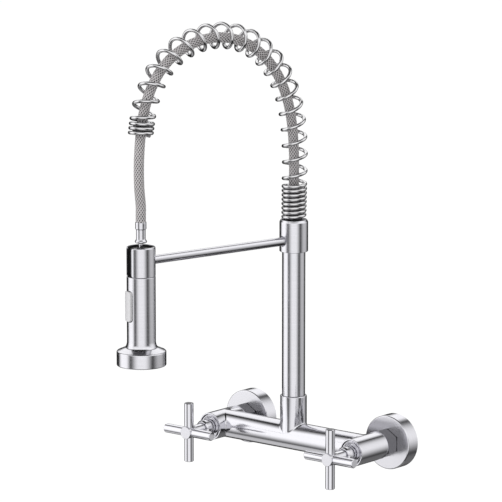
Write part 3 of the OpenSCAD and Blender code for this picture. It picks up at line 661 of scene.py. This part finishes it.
def collar():
    way_r, bore_r, arm_r = 8, RISER_R + 0.05, ARM_R + 0.05
    bm = turned([(way_r, RISER_TOP + 1), (bore_r, RISER_TOP + 1), (bore_r, COLLAR_Z),
                 (COLLAR_R - 0.5, COLLAR_Z), (COLLAR_R, COLLAR_Z + 0.5), (COLLAR_R, SEAT_Z - 2.6, 0.4),
                 (COLLAR_R - 1.5, SEAT_Z, 0.3), (way_r, SEAT_Z, 0.3)], 160)
    out_of = COLLAR_R + 0.3
    sink = turned([(0, COLLAR_R - 1.5), (arm_r, COLLAR_R - 1.3), (arm_r + 1.6, out_of), (0, out_of)],
                  64, closed=False)
    a = math.radians(WIRE_START)
    wire_x = COIL_R * math.cos(a) + BEND_R * math.sin(a)
    wire_y = COIL_R * math.sin(a) - BEND_R * math.cos(a)
    at_arm = shift(0, 0, ARM_Z)
    bm = cut(bm, placed(plain(arm_r, 10, COLLAR_R - 1), at_arm @ ALONG_ARM),
             placed(sink, at_arm @ ALONG_ARM),
             placed(plain(SET_SCREW_R, 10, 20, 32), at_arm @ TO_WALL),
             placed(plain(WIRE_R + 0.3, SEAT_Z - 4, SEAT_Z + 1, 32), shift(wire_x, wire_y, 0)))
    finished("riser_collar", softened(bm, 0.15, 40), ON_RISER, SATIN["z"], "spout",
             ["collar"])


def arm():
    start, end = RISER_R + 0.4, ARM_REACH - LINER_R
    bolt_r, bolt_end = 1.75, end - 12
    bm = turned([(0, start), (ARM_R, start, 0.3), (ARM_R, end, 0.2), (bolt_r, end), (bolt_r, bolt_end),
                 (0, bolt_end)], 96, closed=False)
    finished("arm_bar", bm, ON_RISER @ shift(0, 0, ARM_Z) @ ALONG_ARM, ARM_FINISH, "spout",
             ["arm_rod"])


# ---------- holder ----------


def holder():
    top, near, far = HOLDER_Z + HOLDER_H, 5, 25
    to_arm = shift(0, 0, ARM_Z) @ turn(SLOT_TURN, "Z") @ TO_WALL
    sleeve = turned([(LINER_R, HOLDER_Z), (GRIP_R - 0.4, HOLDER_Z), (GRIP_R, HOLDER_Z + 0.4),
                     (GRIP_R, top, 1.5), (LINER_R, top, 0.2)], 160)
    slot, wide, clear = SLOT_W / 2, 14, 0.02
    low, high = HOLDER_Z - clear, top + clear
    outline = [(-wide, low - 5), (wide, low - 5), (wide, low), (slot, low), (slot, high), (wide, high),
               (wide, high + 5), (-wide, high + 5), (-wide, high), (-slot, high), (-slot, low), (-wide, low)]
    bm = cut(sleeve, prism(outline, near, far, 2.5, rounded=(3, 4, 9, 10)),
             placed(plain(ARM_R + 0.05, near, far, 64), to_arm))
    finished("holder_ring", softened(bm, 0.2, 30), ON_WAND, SATIN["z"], "spout",
             ["holder_sleeve"])

    inner, outer, foot, brim = NECK_R + 0.4, LINER_R - 0.02, HOLDER_Z + 0.4, top - 0.6
    bolt_r = 3.4
    lining = turned([(inner, foot), (outer, foot), (outer, brim), (inner, brim, 0.5)])
    bm = cut(lining, prism(rectangle(SLOT_W, HOLDER_Z - 2, top + 2), near, far),
             placed(plain(bolt_r, near, far, 48), to_arm))
    finished("holder_lining", softened(bm, 0.15, 40), ON_WAND, BLACK, "spout",
             ["holder_liner"])


# ---------- the hose's middle line ----------

ROUTE = [(0, 247), (0, 285), (0, 320), (3, 355), (10, 384), (23, 411), (43, 434), (70, 451), (103, 459),
         (136, 456), (165, 444), (187, 424), (202, 396), (209, 366), (212, 335), (212, 307), (210, 285),
         (210, 276), (210, 267)]
ROUTE_STEPS = 24


def smooth_route():
    """Points of the smooth curve through the route, and the length up to each."""
    line = []
    last = len(ROUTE) - 1
    for i in range(last):
        a, b, c, d = (Vector(ROUTE[min(max(i + k, 0), last)]) for k in (-1, 0, 1, 2))
        for k in range(ROUTE_STEPS):
            t = k / ROUTE_STEPS
            line.append(0.5 * (2 * b + (c - a) * t + (2 * a - 5 * b + 4 * c - d) * t * t
                               + (3 * b - a - 3 * c + d) * t * t * t))
    line.append(Vector(ROUTE[last]))
    lengths = [0.0]
    for a, b in zip(line, line[1:]):
        lengths.append(lengths[-1] + (b - a).length)
    return line, lengths


LINE, LENGTHS = smooth_route()
HOSE_END = LENGTHS[-1]
ACROSS_ARCH = Vector((1, 0, 0))


def at(s):
    """A point of the hose's middle line, on the riser's axes."""
    low, high = 0, len(LINE) - 1
    while high - low > 1:
        middle = (low + high) // 2
        low, high = (low, middle) if LENGTHS[middle] > s else (middle, high)
    a, b = LINE[low], LINE[low + 1]
    share = (s - LENGTHS[low]) / (LENGTHS[low + 1] - LENGTHS[low])
    out, height = a.lerp(b, share) if 0 <= share <= 1 else a + (b - a) * share
    return Vector((0, -out, height))


def outward(s):
    """The direction across the hose in the plane of the arch."""
    way = at(min(s + 2, HOSE_END)) - at(max(s - 2, 0))
    return way.normalized().cross(ACROSS_ARCH)


# ---------- spring ----------

TOTAL_TURNS = FOOT_TURNS + 1 + OPEN_TURNS + 1 + END_TURNS


def gain(n):
    return 0 if n <= 0 else n - 0.5 if n >= 1 else n * n / 2


def climb(n):
    """Length along the middle line at turn n: closed turns, open ones over the arch, closed ones."""
    opened = gain(n - FOOT_TURNS) - gain(n - FOOT_TURNS - 1 - OPEN_TURNS)
    return BEND_R + CLOSED_PITCH * n + (OPEN_PITCH - CLOSED_PITCH) * opened


SPRING_END = climb(TOTAL_TURNS)
HOSE_SPLIT = SPRING_END - 11


def spoke(n):
    a = math.radians(360 * n + WIRE_START)
    return math.cos(a) * ACROSS_ARCH + math.sin(a) * outward(climb(n))


def wire_at(n):
    s = climb(n)
    swell = math.sin(math.pi * (s - BEND_R) / (SPRING_END - BEND_R))
    return at(s) + ARCH_LIFT * swell * outward(s) + (COIL_R + ARCH_SWELL * swell) * spoke(n)


def arch_spring():
    per_turn = 32
    foot, up = wire_at(0), Vector((0, 0, 1))
    away = up.cross(spoke(0))
    path = [foot - BEND_R * away - up * (BEND_R + z) for z in (2 * WIRE_R, WIRE_R, 0)]
    for a in (15, 30, 45, 60, 75):
        a = math.radians(a)
        path.append(foot - BEND_R * math.cos(a) * away - up * BEND_R * (1 - math.sin(a)))
    count = math.floor(TOTAL_TURNS * per_turn)
    path += [wire_at(i / per_turn) for i in range(count + 1)]
    path.append(path[-1] + 2 * WIRE_R * (path[-1] - path[-2]).normalized())
    curve = bpy.data.curves.new("wire_path", "CURVE")
    curve.dimensions = "3D"
    curve.bevel_depth = WIRE_R
    curve.bevel_resolution = 5
    curve.use_fill_caps = True
    spline = curve.splines.new("POLY")
    spline.points.add(len(path) - 1)
    for point, co in zip(spline.points, path):
        point.co = (*co, 1)
    bent = bpy.data.objects.new("wire_path", curve)
    scene.collection.objects.link(bent)
    bm = bmesh.new()
    bm.from_mesh(bpy.data.meshes.new_from_object(bent.evaluated_get(bpy.context.evaluated_depsgraph_get())))
    bpy.data.objects.remove(bent)
    finished("spring_wire", tidy(bm), ON_RISER, SPRING_FINISH, "spout", ["arch_spring"], 50)


# ---------- braided hose ----------

YARNS = 11              # yarns that run each way round the sleeve
CELL = 4.4              # distance between crossings along the hose
YARN_RISE = 0.25        # how far a yarn goes over and under
YARN_CROWN = 0.30       # how far a yarn bulges
YARN_SLIM = 3.5         # a yarn's cell is this many times its half width
SLEEVE_R = HOSE_R - YARN_RISE - YARN_CROWN
COIL_SHADE = 0.6              # how much painted shade darkens the yarns inside the spring's closed turns


def yarn_height(a, b):
    """Height of the uppermost yarn where yarn lines a and b cross, and its share of the crests' height."""
    i, j = math.floor(a), math.floor(b)
    heights = [0.0]
    for across, along, this, way in ((a, b, i, 1), (b, a, j, -1)):
        off = YARN_SLIM * abs(across - this - 0.5)
        if off < 1:
            heights.append(way * YARN_RISE * math.cos(math.pi * (along - 0.5 + this))
                           + YARN_CROWN * math.sqrt(1 - off * off))
    top = max(heights)
    return top, top / (YARN_RISE + YARN_CROWN)


def coil_shade_share(s):
    """1 where the sleeve lies inside the spring's closed turns and gets painted shade, 0 where it lies open.
    """
    edge, last_edge = 6, 2
    foot, end = climb(FOOT_TURNS), climb(FOOT_TURNS + 2 + OPEN_TURNS)
    at_foot = min(1, (foot - s) / edge + 0.5)
    at_end = min((s - end) / edge + 0.5, (SPRING_END - s) / last_edge + 0.5, 1)
    return max(at_foot, at_end, 0)


def hose(name, start, stop, node):
    per_cell = 8
    cells = round((stop - start) / CELL)
    rows, columns = cells * per_cell, YARNS * per_cell
    bm = bmesh.new()
    bmesh.ops.create_grid(bm, x_segments=columns, y_segments=rows, size=0.5)
    weave_shading = bm.verts.layers.float.new(WEAVE_SHADING)
    stations = {}
    for v in bm.verts:
        around, along = v.co.x + 0.5, v.co.y + 0.5
        s = start + (stop - start) * along
        row = round(along * rows)
        if row not in stations:
            stations[row] = (at(s), outward(s))
        middle, out = stations[row]
        height, lit = yarn_height(around * YARNS + along * cells, around * YARNS - along * cells)
        # painted shade: the yarns are painted darker where the spring's closed turns cover the sleeve
        v[weave_shading] = lit * (1 - COIL_SHADE * coil_shade_share(s))
        a = 2 * math.pi * around
        v.co = middle + (SLEEVE_R + height) * (math.cos(a) * ACROSS_ARCH + math.sin(a) * out)
    bmesh.ops.remove_doubles(bm, verts=bm.verts[:], dist=0.001)
    bmesh.ops.holes_fill(bm, edges=[e for e in bm.edges if e.is_boundary])
    made = as_object(name, metres(bm, ON_RISER))
    made.data.shade_smooth()
    made.data.set_sharp_from_angle(angle=math.radians(80))
    made.data.materials.append(HOSE_FINISH)
    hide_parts(node)
    return made


def shade_sleeve(name, start, stop):
    """Black rubber sleeve round the hose in the spring's closed turns; it keeps the hose in their middle and
    is painted shade, a dark sheet where the inside of the coil lies in shade.
    """
    inner, outer, steps = HOSE_R + 0.1, COIL_R - WIRE_R - 0.5, 12
    rows = 2 * steps + 2        # up the outside, over, down the inside and over again
    bm = bmesh.new()
    bmesh.ops.create_grid(bm, x_segments=64, y_segments=rows, size=0.5)
    for v in bm.verts:
        row = round((v.co.y + 0.5) * rows)
        inside = steps < row < rows
        s = start + (stop - start) * (rows - 1 - row if inside else row % rows) / steps
        a = 2 * math.pi * (v.co.x + 0.5)
        v.co = at(s) + (inner if inside else outer) * (math.cos(a) * ACROSS_ARCH + math.sin(a) * outward(s))
    finished(name, tidy(bm), ON_RISER, SEAL_RUBBER, "spout", ["arch_hose"])


# ---------- end of the hose ----------


def hose_end():
    ring_r, ring_hole, top = 6.1, 3, FERRULE_Z + FERRULE_H
    bm = turned([(ring_hole, FERRULE_Z), (ring_r - 0.8, FERRULE_Z), (ring_r, FERRULE_Z + 0.8, 0.3),
                 (ring_r, top - 0.5, 0.2), (ring_r - 0.4, top, 0.1), (ring_hole, top)], 96)
    finished("crimp_ring", bm, ON_WAND, SATIN[OUTLINE], "hose_end", ["hose_ferrule"])

    way_r, neck_r, rim_r, tail_r, tail_top = 1.5, 2.5, 6.6, 5.2, TAIL_Z + 14.6
    bm = turned([(way_r, BALL_Z - 6.3)] + arc(0, BALL_Z, BALL_R, -76, 67, 24)
                + [(neck_r, TAIL_Z), (rim_r - 1, TAIL_Z), (rim_r, TAIL_Z + 0.8, 0.3),
                   (rim_r, TAIL_Z + 1.8, 0.3), (tail_r, TAIL_Z + 4, 0.6), (tail_r, tail_top),
                   (way_r, tail_top)], 96)
    finished("swivel_tail", bm, ON_WAND, SATIN[OUTLINE], "hose_end", ["hose_tail"])


# ---------- spray head ----------


def spray_neck():
    top, socket_r = HOLDER_Z + HOLDER_H - 2.2, BALL_R + 0.3
    plug_r, plug_end, way_r, floor_at = BORE_R - 0.05, JOINT_Z - 14.5, 6, JOINT_Z - 1
    bm = turned([(way_r, plug_end), (plug_r, plug_end), (plug_r, JOINT_Z), (NECK_R, JOINT_Z),
                 (NECK_R, top - 1.5, 0.3), (NECK_R - 0.6, top - 0.4, 0.3), (NECK_R - 1.6, top, 0.3),
                 (5.2, top, 0.4)]
                + arc(0, BALL_Z, socket_r, 48, -64, 12) + [(3, floor_at), (way_r, floor_at)])
    finished("parking_neck", bm, ON_WAND, BLACK, "spray_head", ["spray_neck"])


def button_window(wider, near, far, rounding):
    """A block as wide and high as the button and a little wider all round."""
    width, half = BUTTON_W + 2 * wider, BUTTON_H / 2
    return prism(rectangle(width, BUTTON_Z - half - wider, BUTTON_Z + half + wider), near, far, rounding)


def spray_shell():
    rim, cone = 1.8, 23                     # radius of the foot's rim, slope of the cone above it
    flare_r, bend_r, meet = 12, 3, 210      # the throat's two arcs, and the heading where they meet
    lip = arc(FOOT_R - rim, HEAD_TOP + 0.4, rim, 0, 90 - cone, 8)
    flare = arc(GRIP_R + flare_r, 0, flare_r, meet, 180)
    (lip_r, lip_z), (meet_r, meet_z) = lip[-1], flare[0]
    bend = arc(meet_r - bend_r * math.cos(math.radians(meet)), meet_z - bend_r * math.sin(math.radians(meet)),
               bend_r, 270 - cone, meet)
    throat = bend[:-1] + flare
    lift = lip_z + (lip_r - throat[0][0]) * math.tan(math.radians(cone)) - throat[0][1]
    inner, step_low, step_high = FOOT_R - 2.3, FOOT_Z + 10.5, FOOT_Z + 15.5
    grip = turned([(FOOT_R - 0.8, FOOT_Z, 0.2), (FOOT_R, FOOT_Z + 0.8, 0.3)] + lip
                  + [(r, z + lift) for r, z in throat]
                  + [(GRIP_R, JOINT_Z, 0.8), (BORE_R, JOINT_Z), (BORE_R, step_high), (inner, step_low),
                     (inner, FOOT_Z)], 192)
    bm = cut(grip, button_window(1.0, 8, 20, 3.8))
    edges = [e for e in sharp_edges(bm, 40)
             if all(abs(v.co.x) < BUTTON_W and v.co.y < 0 and abs(v.co.z - BUTTON_Z) < BUTTON_H / 2 + 2
                    for v in e.verts)]
    rounded_off(bm, edges, 0.3, 2)
    finished("spray_grip", tidy(bm), ON_WAND, WAND_FINISH, "spray_head", ["spray_shell"])

    # painted shade: a black frame sunk in the window round the button darkens the gap round it
    inner, outer, low, high = GRIP_R - 2.4, GRIP_R - 1, BUTTON_Z - 22, BUTTON_Z + 22
    tube = turned([(inner, low), (outer, low), (outer, high), (inner, high)])
    bm = cut(combined(tube, button_window(0.9, 8, 20, 3.7), "INTERSECT"), button_window(0.35, 7, 21, 3.1))
    finished("button_surround_shade", bm, ON_WAND, BLACK, "spray_head", ["spray_shell"])


def spray_button():
    inner, outer = GRIP_R - 2, GRIP_R + BUTTON_OUT
    low, high = BUTTON_Z - BUTTON_H / 2 - 1, BUTTON_Z + BUTTON_H / 2 + 1
    plate = turned([(inner, low), (outer, low), (outer, high), (inner, high)], 192)
    bm = softened(combined(plate, button_window(0.0, 8, 20, 2.8), "INTERSECT"), 0.7, 30, 3)
    finished("rocker_button", bm, ON_WAND, BUTTON_FINISH, "button", ["spray_button"])


def spray_face():
    low, thick, hole = FOOT_Z + 1.6, 4.3, 8.9
    disc = turned([(hole, low, 0.2), (FACE_R, low, 0.4), (FACE_R, low + thick), (hole, low + thick)])
    root, tip = low + 0.2, low - 1.2
    tips = [placed(turned([(1.3, root), (0.85, tip, 0.15), (0.4, tip, 0.1), (0.4, root)], 16),
                   turn(360 * i / count, "Z") @ shift(radius, 0, 0))
            for radius, count in ((13, 12), (19.5, 20)) for i in range(count)]
    finished("nozzle_face", joined(disc, *tips), ON_WAND, GREY_RUBBER, "spray_head",
             ["spray_face"])


def aerator():
    inner, outer, hole, spacing = 7.3, 8.8, 0.8, 2.5
    low = FOOT_Z + 0.8
    plate_low, plate_high, top = low + 1.4, low + 3, low + 9.2
    bm = turned([(0, plate_low), (inner, plate_low), (inner, low), (outer, low, 0.4), (outer, top),
                 (inner, top), (inner, plate_high), (0, plate_high)], 96, closed=False)
    holes = [placed(plain(hole, low + 1, low + 4, 16), shift(spacing * x, spacing * y, 0))
             for x in range(-2, 3) for y in range(-2, 3) if abs(x) + abs(y) < 4]
    finished("aerator_insert", cut(bm, *holes), ON_WAND, PALE_PLASTIC, "spray_head",
             ["aerator"])


# ---------- everything in its place ----------

for side in SIDES:
    wall_adapter(side)
    wall_flange(side)
    union_nut(side)
    bonnet(side)
    handle(side)
    index_cap(side)
bridge_body()
riser_pipe()
collar()
arm()
holder()
arch_spring()
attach(hose("braid_over_arch", 0, HOSE_SPLIT, "arch_hose"), "spout")
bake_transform(hose("braid_drop", HOSE_SPLIT, HOSE_END, "drop_hose"), "spout", "hose_end",
         start=ON_RISER @ at(HOSE_SPLIT), end=ON_RISER @ at(HOSE_END))
# painted shade: black sleeves inside the closed turns at both ends of the spring
shade_sleeve("foot_shade_sleeve", 0.1, climb(FOOT_TURNS) - WIRE_R)
shade_sleeve("end_shade_sleeve", SPRING_END - CLOSED_PITCH * END_TURNS + WIRE_R, SPRING_END - 1.5 * WIRE_R)
hose_end()
spray_neck()
spray_shell()
spray_button()
spray_face()
aerator()

CARRIED_OVER = {
    "inlet_washer": SEAL_RUBBER, "seat_seal": SEAL_RUBBER, "cartridge": PALE_PLASTIC, "fixed_disc": CERAMIC,
    "moving_disc": CERAMIC, "stem": BRASS_BARE, "handle_screw": SCREW_FINISH,
    "riser_lock_screw": SCREW_FINISH, "riser_o_rings": SEAL_RUBBER, "collar_screw": SCREW_FINISH,
    "hose_nipple": BRASS_BARE, "arm_bolt": SCREW_FINISH, "check_valve": PALE_PLASTIC,
    "diverter_housing": INNER_PLASTIC, "button_pin": SCREW_FINISH, "button_plunger": SCREW_FINISH,
    "spray_plate": INNER_PLASTIC,
}
for name, finish in CARRIED_OVER.items():
    for node in (name, f"hot_{name}", f"cold_{name}"):
        if node in nodes:
            for skin in nodes[node].material_slots:
                skin.material = finish

# ---------- studio ----------

CAMERA_AT = Vector((2.75077, -3.46162, 1.03387))
CAMERA_RIGHT = Vector((0.77096, 0.63688, 0.0))
CAMERA_UP = Vector((-0.11769, 0.14247, 0.98278))
CAMERA_BACK = CAMERA_RIGHT.cross(CAMERA_UP)

FRONT = -50.4           # heading of the front of the studio, from +X towards +Y
WHITE, DIM = 1.25, 0.025        # levels of the walls and the curtains, for glossy rays
CLEAR, SOFT = 1.0, 0.85         # levels for the camera's rays and for diffuse ones

WALLS = [
    # heading from the front, half width, soft edge, lower end, its soft edge, upper end, its soft edge, level
    (-89, 28, 14, -29, 22, 46, 11, 1.22), (2, 36, 22, -36, 8, 50, 5, 1.0),
    (5, 78, 18, 16, 10, 49, 6, 1.08), (95, 28, 20, -14, 26, 62, 8, 0.97),
    (84, 24, 14, 20, 8, 60, 8, 1.12), (-176.5, 36, 12, 16, 8, 54, 5, 1.1),
    (-128, 31, 13, -75, 5, -44, 6, 0.62), (150, 40, 20, -80, 5, -30, 8, 0.15),
    (0, 180, 1, -120, 10, -64, 6, 0.3),
]


def studio():
    """White walls between dark curtains for polished metal, and one plain soft level for everything else."""
    world = bpy.data.worlds.new("studio")
    scene.world = world
    recipe = Recipe(world)
    way = recipe.node("ShaderNodeTexCoord", output="Generated")
    x, y, z = (recipe.node("ShaderNodeSeparateXYZ", {}, {0: way}, axis) for axis in "XYZ")
    heading = recipe.maths("ARCTAN2", y, x)
    height = recipe.maths("ARCSINE", z)

    def step(value, start, end):
        return recipe.node("ShaderNodeMapRange", {"interpolation_type": "SMOOTHSTEP"},
                           {"Value": value, "From Min": math.radians(start), "From Max": math.radians(end)})

    def wall(towards, half, feather, low, low_edge, high, high_edge, level):
        off = recipe.maths("ARCCOSINE", recipe.maths("COSINE", heading - math.radians(FRONT + towards)))
        return (step(off, half + feather, half - feather) * step(height, low - low_edge, low + low_edge)
                * step(height, high + high_edge, high - high_edge) * (level * WHITE))

    seen = DIM
    for level in [wall(*measures) for measures in WALLS]:
        seen = recipe.maths("MAXIMUM", level, seen)
    from_camera, through_glass, glossy = (recipe.node("ShaderNodeLightPath", output=f"Is {ray} Ray")
                                          for ray in ("Camera", "Transmission", "Glossy"))
    open_view = recipe.maths("MAXIMUM", from_camera, through_glass)
    level = open_view * CLEAR + glossy * seen + (1 - open_view) * (1 - glossy) * SOFT
    light = recipe.node("ShaderNodeBackground", {}, {"Color": (1, 1, 1, 1), "Strength": level})
    recipe.node("ShaderNodeOutputWorld", {}, {"Surface": light})


def floor():
    """A pale floor that shows the faucet's shadow, and is clear from below."""
    half, height = 8, -0.5
    bm = bmesh.new()
    bmesh.ops.create_grid(bm, x_segments=1, y_segments=1, size=half, matrix=shift(0, 0, height))
    made = as_object("floor", bm)
    paint, recipe = new_material("pale_floor")
    from_camera = recipe.node("ShaderNodeLightPath", output="Is Camera Ray")
    from_below = recipe.node("ShaderNodeNewGeometry", output="Backfacing")
    matt = recipe.node("ShaderNodeBsdfDiffuse", {}, {"Color": (0.95, 0.95, 0.95, 1)})
    white = recipe.node("ShaderNodeEmission", {}, {"Color": (1, 1, 1, 1), "Strength": 1.1})
    lit = recipe.node("ShaderNodeMixShader", {}, {0: from_camera * 0.7, 1: matt, 2: white})
    clear = recipe.node("ShaderNodeBsdfTransparent")
    recipe.node("ShaderNodeOutputMaterial", {},
                {"Surface": recipe.node("ShaderNodeMixShader", {}, {0: from_below, 1: lit, 2: clear})})
    made.data.materials.append(paint)
    made.visible_glossy = False


def lamp():
    light = bpy.data.lights.new("soft_lamp", "AREA")
    light.shape = "DISK"
    light.size = 2.2
    light.energy = 60
    made = bpy.data.objects.new("soft_lamp", light)
    made.location = (-0.6, -3.0, 3.0)
    aimed_at = Vector((0, -0.15, 0.2))
    made.rotation_euler = (aimed_at - made.location).to_track_quat("-Z", "Y").to_euler()
    made.visible_glossy = False
    scene.collection.objects.link(made)


def camera():
    view = bpy.data.cameras.new("camera")
    view.sensor_width = 36
    view.lens = 286.85
    view.clip_end = 50
    made = bpy.data.objects.new("camera", view)
    columns = (CAMERA_RIGHT, CAMERA_UP, CAMERA_BACK, CAMERA_AT)
    made.matrix_world = Matrix([[c[i] for c in columns] for i in range(3)] + [[0, 0, 0, 1]])
    scene.collection.objects.link(made)
    scene.camera = made


studio()
floor()
lamp()
camera()
scene.view_settings.view_transform = "Standard"
